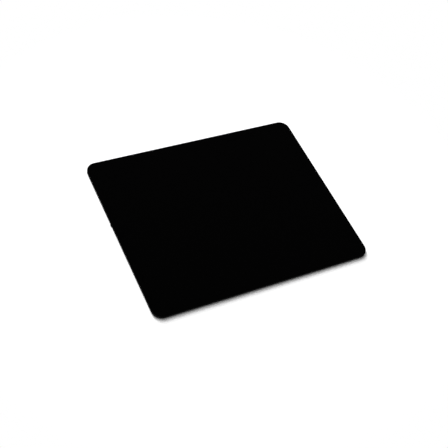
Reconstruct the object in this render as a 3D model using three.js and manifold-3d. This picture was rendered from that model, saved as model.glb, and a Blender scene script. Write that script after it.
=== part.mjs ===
// A plain soft mouse pad: four sheets bonded face to face and cut out together.
// Millimetres, +Z up. The origin is the middle of the underside, and +X runs along the long side.
import * as THREE from 'three';
import { mergeVertices } from 'three/addons/utils/BufferGeometryUtils.js';
import Module from 'manifold-3d';

const wasm = await Module();
wasm.setup();

// The outline that all four sheets are cut to
const padLength = 250;
const padDepth = 200;
const cornerRadius = 11;

// The sheets, from the desk up
const backingThickness = 0.5;
const foamThickness = 1.95;
const filmThickness = 0.1;
const clothThickness = 0.45;

// The cut edge: the die presses the cloth's rim down, and the soft foam springs back behind it
const clothRimDrop = 0.2;
const clothRimWidth = 0.25;
const foamWaist = 0.15;
const foamTaperShare = 1 / 3;

// Grip ribs moulded into the underside, running in zigzags from front to back inside a plain border
const gripBorder = 4;
const gripCornerRadius = cornerRadius - gripBorder;
const ribWidth = 3;
const grooveWidth = 2.5;
const grooveDepth = 0.25;
const zigzagRun = 12.5;
const zigzagSway = 5;

// How far a cutting body runs past the face that it cuts
const cutOverrun = 1;

// Straight pieces in each rounded corner
const cornerSteps = 8;

const materials = {
  cloth: new THREE.MeshStandardMaterial({ color: 0x0b0b0c, roughness: 0.96, metalness: 0 }),
  film: new THREE.MeshStandardMaterial({ color: 0x2c2c2e, roughness: 0.45, metalness: 0 }),
  foam: new THREE.MeshStandardMaterial({ color: 0x121213, roughness: 0.92, metalness: 0 }),
  backing: new THREE.MeshStandardMaterial({ color: 0x0f0f10, roughness: 0.8, metalness: 0 }),
};

// A rectangle with round corners, centred on the origin
function roundedRectangle(length, depth, radius) {
  const x = length / 2 - radius;
  const y = depth / 2 - radius;
  const quarter = Math.PI / 2;
  const outline = new THREE.Shape();
  outline.absarc(x, -y, radius, -quarter, 0, false);
  outline.absarc(x, y, radius, 0, quarter, false);
  outline.absarc(-x, y, radius, quarter, 2 * quarter, false);
  outline.absarc(-x, -y, radius, 2 * quarter, 3 * quarter, false);
  outline.closePath();
  return outline;
}

function padOutline() {
  return roundedRectangle(padLength, padDepth, cornerRadius);
}

// A closed body under or over the shape, from the height bottom to the height top
function slab(shape, bottom, top) {
  const geometry = new THREE.ExtrudeGeometry(shape, {
    depth: top - bottom,
    bevelEnabled: false,
    curveSegments: cornerSteps,
  });
  return geometry.translate(0, 0, bottom);
}

function toSolid(geometry) {
  const bare = geometry.clone();
  bare.deleteAttribute('normal');
  bare.deleteAttribute('uv');
  const merged = mergeVertices(bare);
  return new wasm.Manifold(
    new wasm.Mesh({
      numProp: 3,
      vertProperties: merged.attributes.position.array,
      triVerts: new Uint32Array(merged.index.array),
    }),
  );
}

function toGeometry(solid) {
  const mesh = solid.getMesh();
  const geometry = new THREE.BufferGeometry();
  geometry.setAttribute('position', new THREE.BufferAttribute(mesh.vertProperties, 3));
  geometry.setIndex(new THREE.BufferAttribute(mesh.triVerts, 1));
  geometry.computeVertexNormals();
  return geometry;
}

// One groove between two ribs: a strip of even width that sways from side to side
function zigzagGroove(middle) {
  const runs = 2 * Math.ceil(padDepth / zigzagRun / 2) + 1;
  const front = -(runs * zigzagRun) / 2;
  const right = [];
  const left = [];
  for (let i = 0; i <= runs; i += 1) {
    const sway = i % 2 === 0 ? -zigzagSway / 2 : zigzagSway / 2;
    right.push(new THREE.Vector2(middle + sway + grooveWidth / 2, front + i * zigzagRun));
    left.push(new THREE.Vector2(middle + sway - grooveWidth / 2, front + i * zigzagRun));
  }
  return new THREE.Shape([...right, ...left.reverse()]);
}

// The grooves whose middle lies inside the plain border, with a rib on the middle line, cut short at the border
function gripGrooves() {
  const pitch = ribWidth + grooveWidth;
  const side = Math.round((padLength / 2 - gripBorder) / pitch);
  const strips = [];
  for (let i = -side; i < side; i += 1) {
    strips.push(zigzagGroove((i + 1 / 2) * pitch));
  }
  const grooves = toSolid(slab(strips, -cutOverrun, grooveDepth));
  const length = padLength - 2 * gripBorder;
  const depth = padDepth - 2 * gripBorder;
  const border = roundedRectangle(length, depth, gripCornerRadius);
  const field = toSolid(slab(border, -2 * cutOverrun, backingThickness));
  return grooves.intersect(field);
}

function nonslipBacking() {
  const skin = toSolid(slab(padOutline(), 0, backingThickness));
  const geometry = toGeometry(skin.subtract(gripGrooves()));
  return new THREE.Mesh(geometry, materials.backing);
}

// The foam's wall tapers in to its waist from both faces
function foamCore() {
  const taper = foamThickness * foamTaperShare;
  const geometry = new THREE.ExtrudeGeometry(padOutline(), {
    depth: foamThickness - 2 * taper,
    bevelEnabled: true,
    bevelThickness: taper,
    bevelSize: -foamWaist,
    bevelSegments: 1,
    curveSegments: cornerSteps,
  });
  geometry.translate(0, 0, taper);
  return new THREE.Mesh(geometry, materials.foam);
}

function bondingFilm() {
  return new THREE.Mesh(slab(padOutline(), 0, filmThickness), materials.film);
}

// The cloth is eased down round its upper rim, and cut off flat below
function clothTop() {
  const eased = new THREE.ExtrudeGeometry(padOutline(), {
    depth: clothThickness - clothRimDrop + cutOverrun,
    bevelEnabled: true,
    bevelThickness: clothRimDrop,
    bevelSize: clothRimWidth,
    bevelOffset: -clothRimWidth,
    bevelSegments: 2,
    curveSegments: cornerSteps,
  });
  eased.translate(0, 0, -cutOverrun);
  const below = new THREE.BoxGeometry(
    padLength + 2 * cutOverrun,
    padDepth + 2 * cutOverrun,
    2 * cutOverrun + 2 * clothRimDrop,
  );
  below.translate(0, 0, -cutOverrun - clothRimDrop);
  const geometry = toGeometry(toSolid(eased).subtract(toSolid(below)));
  return new THREE.Mesh(geometry, materials.cloth);
}

// Each sheet lies on the one before it
const sheets = [
  { name: 'nonslip_backing', mesh: nonslipBacking(), thickness: backingThickness },
  { name: 'foam_core', mesh: foamCore(), thickness: foamThickness },
  { name: 'bonding_film', mesh: bondingFilm(), thickness: filmThickness },
  { name: 'cloth_top', mesh: clothTop(), thickness: clothThickness },
];

const group = new THREE.Group();
let height = 0;
for (const { name, mesh, thickness } of sheets) {
  mesh.name = name;
  mesh.position.z = height;
  height += thickness;
  group.add(mesh);
}

export default group;
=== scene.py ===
import math
import random

import bmesh
import bpy
from mathutils import Matrix, Vector


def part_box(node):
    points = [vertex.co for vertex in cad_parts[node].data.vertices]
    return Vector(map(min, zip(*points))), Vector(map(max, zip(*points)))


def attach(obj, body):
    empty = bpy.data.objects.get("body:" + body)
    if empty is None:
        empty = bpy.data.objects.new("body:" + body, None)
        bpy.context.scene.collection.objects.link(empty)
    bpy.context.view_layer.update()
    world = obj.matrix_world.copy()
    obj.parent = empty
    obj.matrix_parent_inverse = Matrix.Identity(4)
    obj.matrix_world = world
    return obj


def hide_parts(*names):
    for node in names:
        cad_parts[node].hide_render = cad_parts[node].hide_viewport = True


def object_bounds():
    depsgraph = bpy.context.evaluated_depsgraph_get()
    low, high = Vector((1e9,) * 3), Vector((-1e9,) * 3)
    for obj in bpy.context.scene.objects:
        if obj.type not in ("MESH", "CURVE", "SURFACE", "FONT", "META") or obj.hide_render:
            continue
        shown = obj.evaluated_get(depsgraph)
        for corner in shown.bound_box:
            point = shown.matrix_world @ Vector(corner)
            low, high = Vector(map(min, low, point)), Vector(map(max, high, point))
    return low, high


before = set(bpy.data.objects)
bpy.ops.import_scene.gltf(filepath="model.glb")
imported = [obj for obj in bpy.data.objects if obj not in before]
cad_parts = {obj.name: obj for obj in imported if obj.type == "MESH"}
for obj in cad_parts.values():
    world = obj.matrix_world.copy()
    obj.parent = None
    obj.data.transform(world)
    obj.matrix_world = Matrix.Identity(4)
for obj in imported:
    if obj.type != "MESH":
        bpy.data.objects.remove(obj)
cadLow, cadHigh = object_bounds()
mm = 0.001
nearly = 0.001 * mm  # how close to a plane still counts as on it
print("frame loaded:", sorted(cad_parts))

# The camera stands where the photograph was taken from
photoView = {
    "azimuth": -39.69,  # degrees round the pad
    "elevation": 51.76,
    "roll": 18.03,
    "distance": 0.8902,  # metres from the spot that it looks at
    "aim": (-0.01016, -0.01486),  # that spot on the desk
    "focal": 838.8,  # in pixels of the photograph
    "frame": 448,  # how many it is wide
    "sensor": 36,
    "clip": (0.01, 100),
}


def addCamera(v):
    azimuth, elevation, roll = (math.radians(v[k]) for k in ("azimuth", "elevation", "roll"))
    level = math.cos(elevation)
    back = Vector((math.sin(azimuth) * level, -math.cos(azimuth) * level, math.sin(elevation)))
    right = Vector((math.cos(azimuth), math.sin(azimuth), 0))
    up = back.cross(right)
    turned = math.cos(roll) * right + math.sin(roll) * up
    upright = math.cos(roll) * up - math.sin(roll) * right
    data = bpy.data.cameras.new("photoCamera")
    data.sensor_width = v["sensor"]
    data.lens = v["sensor"] * v["focal"] / v["frame"]
    data.clip_start, data.clip_end = v["clip"]
    camera = bpy.data.objects.new("photoCamera", data)
    bpy.context.scene.collection.objects.link(camera)
    place = Vector((*v["aim"], 0)) + back * v["distance"]
    turn = Matrix((turned, upright, back)).transposed().to_4x4()
    camera.matrix_world = Matrix.Translation(place) @ turn
    bpy.context.scene.camera = camera


addCamera(photoView)
print("camera placed")


# Small helpers for modelling by hand
def clearSelection():
    if bpy.context.mode != "OBJECT":
        bpy.ops.object.mode_set(mode="OBJECT")
    bpy.ops.object.select_all(action="DESELECT")


def makeActive(piece):
    clearSelection()
    piece.select_set(True)
    bpy.context.view_layer.objects.active = piece


def pick(piece, kind, test):
    bpy.ops.mesh.select_mode(type=kind)
    bpy.ops.mesh.select_all(action="DESELECT")
    mesh = bmesh.from_edit_mesh(piece.data)
    parts = {"VERT": mesh.verts, "EDGE": mesh.edges, "FACE": mesh.faces}[kind]
    for part in parts:
        if test(part):
            part.select_set(True)
    bmesh.update_edit_mesh(piece.data)


def pickAllFaces():
    bpy.ops.mesh.select_mode(type="FACE")
    bpy.ops.mesh.select_all(action="SELECT")


def extrude(x, y, z):
    bpy.ops.mesh.extrude_region_move(TRANSFORM_OT_translate={"value": (x, y, z)})


def finishMesh(piece, smoothAngle):
    makeActive(piece)
    bpy.ops.object.mode_set(mode="EDIT")
    bpy.ops.mesh.select_all(action="SELECT")
    bpy.ops.mesh.normals_make_consistent(inside=False)
    bpy.ops.object.mode_set(mode="OBJECT")
    bpy.ops.object.shade_smooth_by_angle(angle=math.radians(smoothAngle))
    clearSelection()


def applyModifier(piece, kind, **settings):
    makeActive(piece)
    bpy.ops.object.modifier_add(type=kind)
    modifier = piece.modifiers[-1]
    for name, value in settings.items():
        setattr(modifier, name, value)
    bpy.ops.object.modifier_apply(modifier=modifier.name)


def combine(piece, operation, tool):
    applyModifier(piece, "BOOLEAN", object=tool, operation=operation, solver="EXACT")
    bpy.data.objects.remove(tool)


# Cloud noise that moves the points of a group out and in, by up to half of depth each way
def roughen(piece, group, grain, depth, direction="NORMAL"):
    texture = bpy.data.textures.new(piece.name + "Clouds", type="CLOUDS")
    texture.noise_scale = grain
    applyModifier(
        piece, "DISPLACE", texture=texture, texture_coords="LOCAL", vertex_group=group,
        strength=depth, mid_level=0.5, direction=direction,
    )


def addGroup(piece, name, weight):
    group = piece.vertex_groups.new(name=name)
    for v in piece.data.vertices:
        w = weight(v.co)
        if w > 0:
            group.add([v.index], w, "REPLACE")


# A weight for addGroup: the points of a wall, without those of the faces over and under it
def between(low, high):
    return lambda co: 1 if low.z + nearly < co.z < high.z - nearly else 0


# The outline that the four sheets share, read off the frame
def cornerRadiusOf(node):
    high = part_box(node)[1]
    onSide = [v.co.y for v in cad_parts[node].data.vertices if v.co.x > high.x - nearly]
    return high.y - max(onSide)


outline = {
    "length": cadHigh.x - cadLow.x,
    "depth": cadHigh.y - cadLow.y,
    "radius": cornerRadiusOf("bonding_film"),
    "cornerCuts": 24,
}


# A flat face of that outline, with its straight sides cut into steps about this long
def addOutlineFace(name, height, step):
    o = outline
    clearSelection()
    bpy.ops.mesh.primitive_plane_add(size=1, location=(0, 0, 0))
    piece = bpy.context.object
    piece.name = name
    bpy.ops.object.mode_set(mode="EDIT")
    bpy.ops.transform.resize(value=(o["length"], o["depth"], 1), center_override=(0, 0, 0))
    bpy.ops.transform.translate(value=(0, 0, height))
    bpy.ops.mesh.bevel(offset=o["radius"], segments=o["cornerCuts"], affect="VERTICES")
    bpy.ops.mesh.delete(type="ONLY_FACE")
    for axis, side in ((0, o["length"]), (1, o["depth"])):
        straight = side - 2 * o["radius"]
        pick(piece, "EDGE", lambda e: abs(e.verts[0].co[axis] - e.verts[1].co[axis]) > straight / 2)
        for _ in range(2):  # the second go cuts each part again, because one alone can't make so many
            bpy.ops.mesh.subdivide(number_cuts=round(math.sqrt(straight / step)) - 1)
    bpy.ops.mesh.select_all(action="SELECT")
    bpy.ops.mesh.edge_face_add()
    pickAllFaces()
    return piece


# Raises the selected face ring by ring, each at its height and drawn in from the outline by its inset
def raiseWall(rings):
    o = outline
    lastHeight, lastInset = 0, 0
    for height, inset in rings:
        extrude(0, 0, height - lastHeight)
        shrink = [(o[k] - 2 * inset) / (o[k] - 2 * lastInset) for k in ("length", "depth")]
        bpy.ops.transform.resize(value=(*shrink, 1), center_override=(0, 0, 0))
        lastHeight, lastInset = height, inset
    bpy.ops.mesh.select_all(action="SELECT")
    bpy.ops.mesh.normals_make_consistent(inside=False)


# Rings for a wall that goes straight up
def evenRings(height, count):
    return [(height * i / count, 0) for i in range(1, count + 1)]


# Cuts the flat face at this height into squares
def gridFace(piece, height, step):
    for axis, side in ((0, outline["length"]), (1, outline["depth"])):
        count = int((side / step - 1) / 2)  # cuts on each side of the middle one
        for i in range(-count, count + 1):
            pick(piece, "FACE", lambda f: all(v.co.z > height - nearly for v in f.verts))
            place = [0, 0, 0]
            normal = [0, 0, 0]
            place[axis] = i * step
            normal[axis] = 1
            bpy.ops.mesh.bisect(plane_co=place, plane_no=normal)


# How far a point lies inside the outline
def distanceInside(co):
    r = outline["radius"]
    x = abs(co.x) - (outline["length"] / 2 - r)
    y = abs(co.y) - (outline["depth"] / 2 - r)
    outside = math.hypot(max(x, 0), max(y, 0)) + min(max(x, y), 0)
    return r - outside


# The knitted cloth, pressed down round its rim by the cutting die
cloth = {
    "rimDrop": 0.2 * mm,
    "rimWidth": 0.25 * mm,
    "rimCuts": 5,
    "wallRings": 3,
    "edgeStep": 0.4 * mm,
    "gridStep": 4 * mm,
    "swell": 0.12 * mm,  # how far the foam below lets the cloth wander from flat
    "swellSize": 35 * mm,
    "swellFrom": 0.4 * mm,  # how far in from the edge it starts
    "swellFade": 4 * mm,  # over what width it grows to the full
    "fray": 0.07 * mm,
    "fraySize": 0.35 * mm,
    "smoothAngle": 40,
}

# Loose fibre ends along the cut
fibres = {
    "seed": 7,
    "count": 420,
    "sides": 3,
    "girth": 0.05,  # a share of the length
    "bends": (  # rise, lean and taper of each part, also shares
        (0.35, 0.03, 0.85),
        (0.35, 0.1, 0.7),
        (0.3, 0.14, 0.3),
    ),
    "spread": 1.2,  # how far they lean to a side, for one step outwards
    "lift": (-0.4, 0.5),  # how far down or up
    "shortest": 0.12 * mm,
    "longest": 0.4 * mm,  # from root to tip
}


def makeCloth(c):
    low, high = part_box("cloth_top")
    wall = high.z - low.z - c["rimDrop"]
    piece = addOutlineFace("clothTop", low.z, c["edgeStep"])
    rings = evenRings(wall, c["wallRings"])
    for i in range(1, c["rimCuts"] + 1):
        turn = math.pi / 2 * i / c["rimCuts"]
        rings.append((wall + c["rimDrop"] * math.sin(turn), c["rimWidth"] * (1 - math.cos(turn))))
    raiseWall(rings)
    gridFace(piece, high.z, c["gridStep"])
    bpy.ops.object.mode_set(mode="OBJECT")

    def swellWeight(co):
        grown = (distanceInside(co) - c["swellFrom"]) / c["swellFade"]
        return min(max(grown, 0), 1) if co.z > high.z - nearly else 0

    def cutWeight(co):
        return 1 if low.z + nearly < co.z < low.z + wall + nearly else 0

    addGroup(piece, "face", swellWeight)
    addGroup(piece, "cut", cutWeight)
    roughen(piece, "face", c["swellSize"], c["swell"], "Z")
    roughen(piece, "cut", c["fraySize"], c["fray"])
    fraying(piece, fibres, low.z + nearly, low.z + wall)
    finishMesh(piece, c["smoothAngle"])
    return piece


# A tapered fibre of unit length that bends over towards its tip
def makeFibre(f):
    clearSelection()
    bpy.ops.mesh.primitive_circle_add(
        vertices=f["sides"], radius=f["girth"], fill_type="NGON", location=(0, 0, 0),
    )
    fibre = bpy.context.object
    bpy.ops.object.mode_set(mode="EDIT")
    pickAllFaces()
    for rise, lean, share in f["bends"]:
        extrude(lean, 0, rise)
        bpy.ops.transform.resize(value=(share, share, 1))
    bpy.ops.object.mode_set(mode="OBJECT")
    return fibre


# Sets fibre ends at points of the cut taken at random, and joins them to the cloth
def fraying(piece, f, lowest, highest):
    dice = random.Random(f["seed"])
    fibre = makeFibre(f)
    roots = [v for v in piece.data.vertices if lowest < v.co.z < highest]
    plan = []
    for v in dice.sample(roots, f["count"]):
        out = Vector((v.normal.x, v.normal.y, 0)).normalized()
        side = Vector((-out.y, out.x, 0)) * dice.uniform(-f["spread"], f["spread"])
        lift = Vector((0, 0, dice.uniform(*f["lift"])))
        reach = dice.uniform(f["shortest"], f["longest"])
        plan.append((v.co.copy(), (out + side + lift).normalized() * reach))
    clearSelection()
    for root, way in plan:
        copy = bpy.data.objects.new("fibreCopy", fibre.data)
        bpy.context.scene.collection.objects.link(copy)
        turn = way.to_track_quat("Z", "Y").to_matrix().to_4x4()
        spin = Matrix.Rotation(dice.uniform(0, 2 * math.pi), 4, "Z")
        copy.matrix_world = Matrix.Translation(root) @ turn @ spin @ Matrix.Scale(way.length, 4)
        copy.select_set(True)
    bpy.data.objects.remove(fibre)
    piece.select_set(True)
    bpy.context.view_layer.objects.active = piece
    bpy.ops.object.join()


clothTop = makeCloth(cloth)
print("cloth made:", len(clothTop.data.polygons), "faces")

# The adhesive film, squeezed out a little between the cloth and the foam
film = {
    "edgeStep": 1 * mm,
    "squeeze": 0.06 * mm,
    "squeezeSize": 3 * mm,
    "smoothAngle": 60,
}


def makeFilm(f):
    low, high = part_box("bonding_film")
    thickness = high.z - low.z
    piece = addOutlineFace("bondingFilm", low.z, f["edgeStep"])
    bulge = -f["squeeze"] / 2
    raiseWall([(thickness / 3, bulge), (2 * thickness / 3, bulge), (thickness, 0)])
    bpy.ops.object.mode_set(mode="OBJECT")
    addGroup(piece, "bead", between(low, high))
    roughen(piece, "bead", f["squeezeSize"], f["squeeze"])
    finishMesh(piece, f["smoothAngle"])
    return piece


bondingFilm = makeFilm(film)
print("film made:", len(bondingFilm.data.polygons), "faces")

# The nib that the cutting die leaves at the left edge, where the waste was held until last
nib = {
    "middle": 18.4 * mm,
    "upTo": 1.3 * mm,
    "wallDepth": 0.3 * mm,  # the points of the cut wall lie no further in
    "steps": (  # half its length, then how far out
        (2.2 * mm, 0.2 * mm),
        (1.7 * mm, 0.25 * mm),
        (1 * mm, 0.25 * mm),
    ),
}


def pullNib(piece, n):
    makeActive(piece)
    bpy.ops.object.mode_set(mode="EDIT")
    for reach, out in n["steps"]:
        pick(piece, "VERT", lambda v: (
            v.co.x < cadLow.x + n["wallDepth"]
            and v.co.z < n["upTo"]
            and abs(v.co.y - n["middle"]) < reach
        ))
        bpy.ops.transform.translate(value=(-out, 0, 0))
    bpy.ops.object.mode_set(mode="OBJECT")


# The sponge core, whose cut wall shows its open cells
foam = {
    "waist": 0.15 * mm,
    "rings": 9,
    "edgeStep": 0.35 * mm,
    "cellSize": 0.8 * mm,
    "cellDepth": 0.3 * mm,
    "smoothAngle": 60,
}


def makeFoam(f):
    low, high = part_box("foam_core")
    thickness = high.z - low.z
    piece = addOutlineFace("foamCore", low.z, f["edgeStep"])
    rings = []
    for i in range(1, f["rings"] + 1):
        share = i / f["rings"]
        rings.append((thickness * share, f["waist"] * math.sin(math.pi * share)))
    raiseWall(rings)
    bpy.ops.object.mode_set(mode="OBJECT")
    addGroup(piece, "cells", between(low, high))
    roughen(piece, "cells", f["cellSize"], f["cellDepth"])
    pullNib(piece, nib)
    finishMesh(piece, f["smoothAngle"])
    return piece


foamCore = makeFoam(foam)
print("foam made:", len(foamCore.data.polygons), "faces")

# The rubber skin with its zigzag grip ribs
backing = {
    "edgeStep": 0.6 * mm,
    "gridStep": 12.5 * mm,
    "wallRings": 3,
    "scuff": 0.03 * mm,
    "scuffSize": 1.5 * mm,
    "smoothAngle": 30,
    "border": 4 * mm,
    "borderCuts": 12,  # in each round corner inside the border
    "ribWidth": 3 * mm,
    "grooveWidth": 2.5 * mm,
    "grooveDepth": 0.25 * mm,
    "mouthFlare": 0.08 * mm,
    "floorEase": 0.12 * mm,
    "easeShares": ((0.3, 0.7), (0.7, 0.3)),  # in and up, at each step of the floor's rounding
    "run": 12.5 * mm,  # of each leg of the zigzag, from front to back
    "sway": 5 * mm,  # and to the side
    "bendReach": 1.2 * mm,  # how far from a bend its rounding starts
    "bendShares": ((-1, 1), (-0.4, 0.55), (0.4, 0.55), (1, 1)),  # along and across, of that reach
    "overrun": 0.15 * mm,  # how far the grooves' cutting body starts below the underside
    "fieldHeight": 2 * mm,
}


# The middle line of one groove, from front to back, with its bends rounded
def grooveLine(b):
    runs = 2 * math.ceil(outline["depth"] / b["run"] / 2) + 1
    front = -runs * b["run"] / 2
    bends = [((-1) ** (i + 1) * b["sway"] / 2, front + i * b["run"]) for i in range(runs + 1)]
    slope = b["sway"] / b["run"]
    line = [bends[0]]
    for x, y in bends[1:-1]:
        inward = -math.copysign(1, x)
        for along, across in b["bendShares"]:
            line.append((x + inward * slope * b["bendReach"] * across, y + along * b["bendReach"]))
    line.append(bends[-1])
    return line


# One groove, as a strip swept along that line and then given its rounded section
def makeGroove(b):
    line = grooveLine(b)
    width = b["grooveWidth"] + 2 * b["mouthFlare"]
    clearSelection()
    bpy.ops.mesh.primitive_plane_add(size=1, location=(0, 0, 0))
    groove = bpy.context.object
    groove.name = "groove"
    bpy.ops.object.mode_set(mode="EDIT")
    bpy.ops.transform.resize(value=(width, 1, 1), center_override=(0, 0, 0))
    for end, (x, y) in zip((-0.5, 0.5), line):
        pick(groove, "EDGE", lambda e: all(abs(v.co.y - end) < nearly for v in e.verts))
        bpy.ops.transform.translate(value=(x, y - end, -b["overrun"]))
    for (x0, y0), (x1, y1) in zip(line[1:], line[2:]):
        extrude(x1 - x0, y1 - y0, 0)
    pickAllFaces()
    extrude(0, 0, b["overrun"])
    ease, flare = b["floorEase"], b["mouthFlare"]
    section = [(flare, flare), (0, b["grooveDepth"] - flare - ease)]
    section += [(ease * inwards, ease * upwards) for inwards, upwards in b["easeShares"]]
    for inset, rise in section:
        if inset:
            bpy.ops.mesh.inset(thickness=inset, depth=0)
            bpy.ops.transform.translate(value=(0, 0, rise))
        else:
            extrude(0, 0, rise)
    bpy.ops.object.mode_set(mode="OBJECT")
    return groove


# The underside inside its plain border, where the grooves may run
def makeField(b):
    clearSelection()
    bpy.ops.mesh.primitive_cube_add(size=1, location=(0, 0, 0))
    field = bpy.context.object
    bpy.ops.object.mode_set(mode="EDIT")
    size = [outline[k] - 2 * b["border"] for k in ("length", "depth")]
    bpy.ops.transform.resize(value=(*size, b["fieldHeight"]), center_override=(0, 0, 0))
    pick(field, "EDGE", lambda e: abs(e.verts[0].co.z - e.verts[1].co.z) > nearly)
    bpy.ops.mesh.bevel(offset=outline["radius"] - b["border"], segments=b["borderCuts"])
    bpy.ops.object.mode_set(mode="OBJECT")
    return field


def makeGrooves(b):
    grooves = makeGroove(b)
    pitch = b["ribWidth"] + b["grooveWidth"]
    side = round((outline["length"] / 2 - b["border"]) / pitch)  # how many on each side of the middle rib
    applyModifier(
        grooves, "ARRAY", count=2 * side, use_relative_offset=False, use_constant_offset=True,
        constant_offset_displace=(pitch, 0, 0),
    )
    makeActive(grooves)
    bpy.ops.object.mode_set(mode="EDIT")
    bpy.ops.mesh.select_all(action="SELECT")
    bpy.ops.transform.translate(value=(-(side - 0.5) * pitch, 0, 0))
    bpy.ops.mesh.normals_make_consistent(inside=False)
    bpy.ops.object.mode_set(mode="OBJECT")
    combine(grooves, "INTERSECT", makeField(b))
    return grooves


def makeBacking(b):
    low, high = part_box("nonslip_backing")
    piece = addOutlineFace("nonslipBacking", low.z, b["edgeStep"])
    gridFace(piece, low.z, b["gridStep"])
    bpy.ops.mesh.select_all(action="SELECT")
    raiseWall(evenRings(high.z - low.z, b["wallRings"]))
    bpy.ops.object.mode_set(mode="OBJECT")
    combine(piece, "DIFFERENCE", makeGrooves(b))
    inWall = between(low, high)
    addGroup(piece, "cut", lambda co: inWall(co) if distanceInside(co) < b["border"] / 2 else 0)
    roughen(piece, "cut", b["scuffSize"], b["scuff"])
    pullNib(piece, nib)
    finishMesh(piece, b["smoothAngle"])
    return piece


nonslipBacking = makeBacking(backing)
print("backing made:", len(nonslipBacking.data.polygons), "faces")


# Materials
def newFinish(name, c):
    material = bpy.data.materials.new(name)
    material.use_nodes = True
    tree = material.node_tree
    shader = tree.nodes["Principled BSDF"]
    shader.inputs["Roughness"].default_value = c["roughness"]
    shader.inputs["Specular IOR Level"].default_value = c["gloss"]
    coords = tree.nodes.new("ShaderNodeTexCoord").outputs["Object"]
    return material, tree, shader, coords


# Takes the node's own settings and its inputs alike, with _ for each space in an input's name
def addNode(tree, kind, **values):
    node = tree.nodes.new(kind)
    for name, value in values.items():
        if hasattr(node, name):
            setattr(node, name, value)
        else:
            node.inputs[name.replace("_", " ")].default_value = value
    return node


# A math node on sockets and numbers
def calculate(tree, operation, *values):
    node = tree.nodes.new("ShaderNodeMath")
    node.operation = operation
    for socket, value in zip(node.inputs, values):
        if isinstance(value, bpy.types.NodeSocket):
            tree.links.new(value, socket)
        else:
            socket.default_value = value
    return node.outputs[0]


def addNoise(tree, coords, size, detail):
    noise = addNode(tree, "ShaderNodeTexNoise", Scale=1 / size, Detail=detail)
    tree.links.new(coords, noise.inputs["Vector"])
    return noise.outputs["Fac"]


def addBump(tree, shader, height, distance, strength):
    bump = addNode(tree, "ShaderNodeBump", Strength=strength, Distance=distance)
    tree.links.new(height, bump.inputs["Height"])
    tree.links.new(bump.outputs["Normal"], shader.inputs["Normal"])


coolness = 1.03  # how far the blacks lean to blue


def grey(level):
    return (level, level, level * coolness, 1)


# Colours the shader from dark to light as the factor goes from start to end
def addShade(tree, shader, factor, dark, light, start=0, end=1):
    node = tree.nodes.new("ShaderNodeValToRGB")
    node.color_ramp.elements[0].position = start
    node.color_ramp.elements[0].color = grey(dark)
    node.color_ramp.elements[1].position = end
    node.color_ramp.elements[1].color = grey(light)
    tree.links.new(factor, node.inputs["Fac"])
    tree.links.new(node.outputs["Color"], shader.inputs["Base Color"])


# Each contrast is what a pattern is multiplied by, and what is then added to it
clothFinish = {
    "wale": 0.6 * mm,
    "course": 0.44 * mm,
    "slant": 1.1,
    "legRoundness": 0.6,
    "loopContrast": (0.3, 0.7),
    "fuzz": 0.14 * mm,
    "fuzzDetail": 4,
    "fuzzContrast": (0.9, 0.4),
    "mottle": 2.2 * mm,
    "mottleDetail": 5,
    "mottleContrast": (1.1, 0.45),
    # from dark where the knit lies low, painted shade in its hollows, to light on the raised loops
    "dark": 0.0001,
    "light": 0.0009,
    "relief": 0.09 * mm,
    "reliefStrength": 0.8,
    "roughness": 0.95,
    "gloss": 0.005,
    "sheen": 0.003,
    "sheenRoughness": 0.5,
}


# Columns of slanting stitch legs, two to a wale, with a loop rising in each course
def stitchHeight(tree, coords, c):
    split = tree.nodes.new("ShaderNodeSeparateXYZ")
    tree.links.new(coords, split.inputs[0])
    across = calculate(tree, "FRACT", calculate(tree, "DIVIDE", split.outputs["X"], c["wale"]))
    fromMiddle = calculate(tree, "ABSOLUTE", calculate(tree, "SUBTRACT", across, 0.5))
    leg = calculate(tree, "SINE", calculate(tree, "MULTIPLY", fromMiddle, 2 * math.pi))
    row = calculate(tree, "DIVIDE", split.outputs["Y"], c["course"])
    phase = calculate(tree, "MULTIPLY_ADD", fromMiddle, -c["slant"], row)
    loop = calculate(tree, "SINE", calculate(tree, "MULTIPLY", phase, 2 * math.pi))
    loop = calculate(tree, "MULTIPLY_ADD", loop, *c["loopContrast"])
    return calculate(tree, "MULTIPLY", calculate(tree, "POWER", leg, c["legRoundness"]), loop)


def makeClothMaterial(c):
    material, tree, shader, coords = newFinish("jerseyCloth", c)
    shader.inputs["Sheen Weight"].default_value = c["sheen"]
    shader.inputs["Sheen Roughness"].default_value = c["sheenRoughness"]
    stitch = stitchHeight(tree, coords, c)
    fuzz = addNoise(tree, coords, c["fuzz"], c["fuzzDetail"])
    height = calculate(tree, "MULTIPLY", stitch, calculate(tree, "MULTIPLY_ADD", fuzz, *c["fuzzContrast"]))
    mottle = addNoise(tree, coords, c["mottle"], c["mottleDetail"])
    mottle = calculate(tree, "MULTIPLY_ADD", mottle, *c["mottleContrast"])
    # The colour follows the knit's height, darker in its hollows as painted shade, and varies at random
    # with the mottle
    addShade(tree, shader, calculate(tree, "MULTIPLY", height, mottle), c["dark"], c["light"])
    addBump(tree, shader, height, c["relief"], c["reliefStrength"])
    return material


foamFinish = {
    "cell": 0.42 * mm,
    "smallCell": 0.19 * mm,
    "smallCellContrast": (0.7, 0.6),
    "scatter": 0.9,
    # dark in the cell pits, which is painted shade, and light on the rubber between them
    "dark": 0.0004,
    "light": 0.011,
    "pitRange": (0.12, 0.62),  # heights where it starts to lighten, and where it is light
    "relief": 0.12 * mm,
    "reliefStrength": 1,
    "roughness": 0.85,
    "gloss": 0.08,
}
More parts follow.
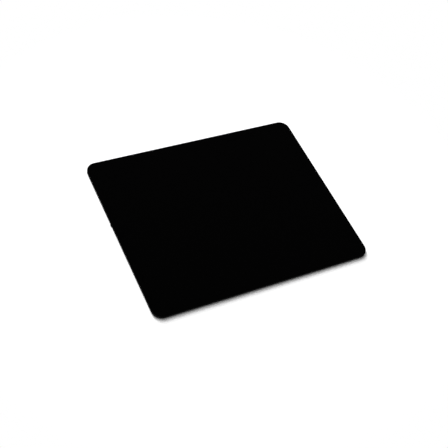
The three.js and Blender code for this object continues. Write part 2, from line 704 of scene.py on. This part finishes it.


# Round cells of two sizes cut open, each a pit in the relief with painted shade darkening it against the
# lighter rubber
def makeFoamMaterial(c):
    material, tree, shader, coords = newFinish("spongeRubber", c)
    pits = []
    for size in (c["cell"], c["smallCell"]):
        cells = addNode(tree, "ShaderNodeTexVoronoi", Scale=1 / size, Randomness=c["scatter"])
        tree.links.new(coords, cells.inputs["Vector"])
        pits.append(cells.outputs["Distance"])
    large, small = pits
    small = calculate(tree, "MULTIPLY_ADD", small, *c["smallCellContrast"])
    height = calculate(tree, "MULTIPLY", large, small)
    # painted shade: the colour darkens into each pit as its height falls
    addShade(tree, shader, height, c["dark"], c["light"], *c["pitRange"])
    addBump(tree, shader, height, c["relief"], c["reliefStrength"])
    return material


filmFinish = {
    "shade": 0.009,
    "ripple": 0.6 * mm,
    "rippleDetail": 2,
    "relief": 0.02 * mm,
    "reliefStrength": 0.6,
    "roughness": 0.4,
    "gloss": 0.2,
}


def makeFilmMaterial(c):
    material, tree, shader, coords = newFinish("adhesiveFilm", c)
    shader.inputs["Base Color"].default_value = grey(c["shade"])
    ripple = addNoise(tree, coords, c["ripple"], c["rippleDetail"])
    addBump(tree, shader, ripple, c["relief"], c["reliefStrength"])
    return material


backingFinish = {
    "cloud": 9 * mm,
    "cloudDetail": 4,
    "cloudRange": (0.3, 0.7),
    "dark": 0.0028,
    "light": 0.0062,
    "grain": 0.12 * mm,
    "grainDetail": 3,
    "relief": 0.015 * mm,
    "reliefStrength": 0.7,
    "roughness": 0.62,
    "gloss": 0.16,
}


def makeBackingMaterial(c):
    material, tree, shader, coords = newFinish("gripRubber", c)
    cloud = addNoise(tree, coords, c["cloud"], c["cloudDetail"])
    addShade(tree, shader, cloud, c["dark"], c["light"], *c["cloudRange"])
    grain = addNoise(tree, coords, c["grain"], c["grainDetail"])
    addBump(tree, shader, grain, c["relief"], c["reliefStrength"])
    return material


for piece, material in (
    (clothTop, makeClothMaterial(clothFinish)),
    (bondingFilm, makeFilmMaterial(filmFinish)),
    (foamCore, makeFoamMaterial(foamFinish)),
    (nonslipBacking, makeBackingMaterial(backingFinish)),
):
    piece.data.materials.clear()
    piece.data.materials.append(material)
print("materials made")

# The stage: a pale floor, two soft lights behind the pad, one low and one high, and an even grey room
stage = {
    "floorRadius": 8,
    "floorSides": 96,
    "floorDrop": 0.02 * mm,
    "floorColour": 0.8,  # as the light meets it
    "seenColour": 1.21,  # as the picture shows it
    "litRadius": 0.17,  # it shows its shadows this far out
    "plainRadius": 0.32,  # and is plain white from here on
    "room": 0.136,
}
lowLight = {"elevation": 31.2, "distance": 3, "width": 0.9, "height": 1.63, "power": 104}
highLight = {"elevation": 63, "distance": 3, "width": 0.5, "height": 1.64, "power": 29.3}


# 1 for rays that show the stage, straight, mirrored or through glass, and 0 for the rest
def seenRay(tree):
    path = tree.nodes.new("ShaderNodeLightPath")
    seen = calculate(tree, "MAXIMUM", path.outputs["Is Camera Ray"], path.outputs["Is Glossy Ray"])
    return calculate(tree, "MAXIMUM", seen, path.outputs["Is Transmission Ray"])


def makeFloorMaterial(s):
    material = bpy.data.materials.new("paleFloor")
    material.use_nodes = True
    tree = material.node_tree
    tree.nodes.remove(tree.nodes["Principled BSDF"])
    seen = seenRay(tree)
    lit = tree.nodes.new("ShaderNodeBsdfDiffuse")
    level = calculate(tree, "MULTIPLY_ADD", seen, s["seenColour"] - s["floorColour"], s["floorColour"])
    tree.links.new(level, lit.inputs["Color"])
    plain = addNode(tree, "ShaderNodeEmission", Color=(1, 1, 1, 1), Strength=1)
    coords = tree.nodes.new("ShaderNodeTexCoord")
    reach = addNode(tree, "ShaderNodeVectorMath", operation="LENGTH")
    tree.links.new(coords.outputs["Object"], reach.inputs[0])
    outward = addNode(
        tree, "ShaderNodeMapRange", interpolation_type="SMOOTHSTEP",
        From_Min=s["litRadius"], From_Max=s["plainRadius"],
    )
    tree.links.new(reach.outputs["Value"], outward.inputs["Value"])
    mix = tree.nodes.new("ShaderNodeMixShader")
    tree.links.new(calculate(tree, "MULTIPLY", outward.outputs["Result"], seen), mix.inputs["Fac"])
    tree.links.new(lit.outputs[0], mix.inputs[1])
    tree.links.new(plain.outputs[0], mix.inputs[2])
    tree.links.new(mix.outputs[0], tree.nodes["Material Output"].inputs["Surface"])
    return material


def makeFloor(s):
    clearSelection()
    bpy.ops.mesh.primitive_circle_add(
        vertices=s["floorSides"], radius=s["floorRadius"], fill_type="NGON",
        location=(0, 0, -s["floorDrop"]),
    )
    floor = bpy.context.object
    floor.name = "studioFloor"
    floor.data.materials.append(makeFloorMaterial(s))


def makeRoom(s):
    world = bpy.data.worlds.new("room")
    bpy.context.scene.world = world
    world.use_nodes = True
    tree = world.node_tree
    background = tree.nodes["Background"]
    background.inputs["Color"].default_value = (1, 1, 1, 1)
    strength = calculate(tree, "MULTIPLY_ADD", seenRay(tree), 1 - s["room"], s["room"])
    tree.links.new(strength, background.inputs["Strength"])


def makeSoftLight(name, s):
    elevation = math.radians(s["elevation"])
    data = bpy.data.lights.new(name, type="AREA")
    data.shape = "RECTANGLE"
    data.size, data.size_y = s["width"], s["height"]
    data.energy = s["power"]
    light = bpy.data.objects.new(name, data)
    bpy.context.scene.collection.objects.link(light)
    back = Vector((0, math.cos(elevation), math.sin(elevation)))
    light.location = back * s["distance"]
    light.rotation_euler = back.to_track_quat("Z", "Y").to_euler()


makeFloor(stage)
makeRoom(stage)
makeSoftLight("lowLight", lowLight)
makeSoftLight("highLight", highLight)
bpy.context.scene.view_settings.view_transform = "Standard"
print("stage lit")

# Each piece stands for its node and rides on the one body
for piece, node, finish in (
    (clothTop, "cloth_top", "jersey_cloth"),
    (bondingFilm, "bonding_film", "adhesive_film"),
    (foamCore, "foam_core", "sponge_rubber"),
    (nonslipBacking, "nonslip_backing", "grip_rubber"),
):
    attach(piece, "root")
    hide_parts(node)
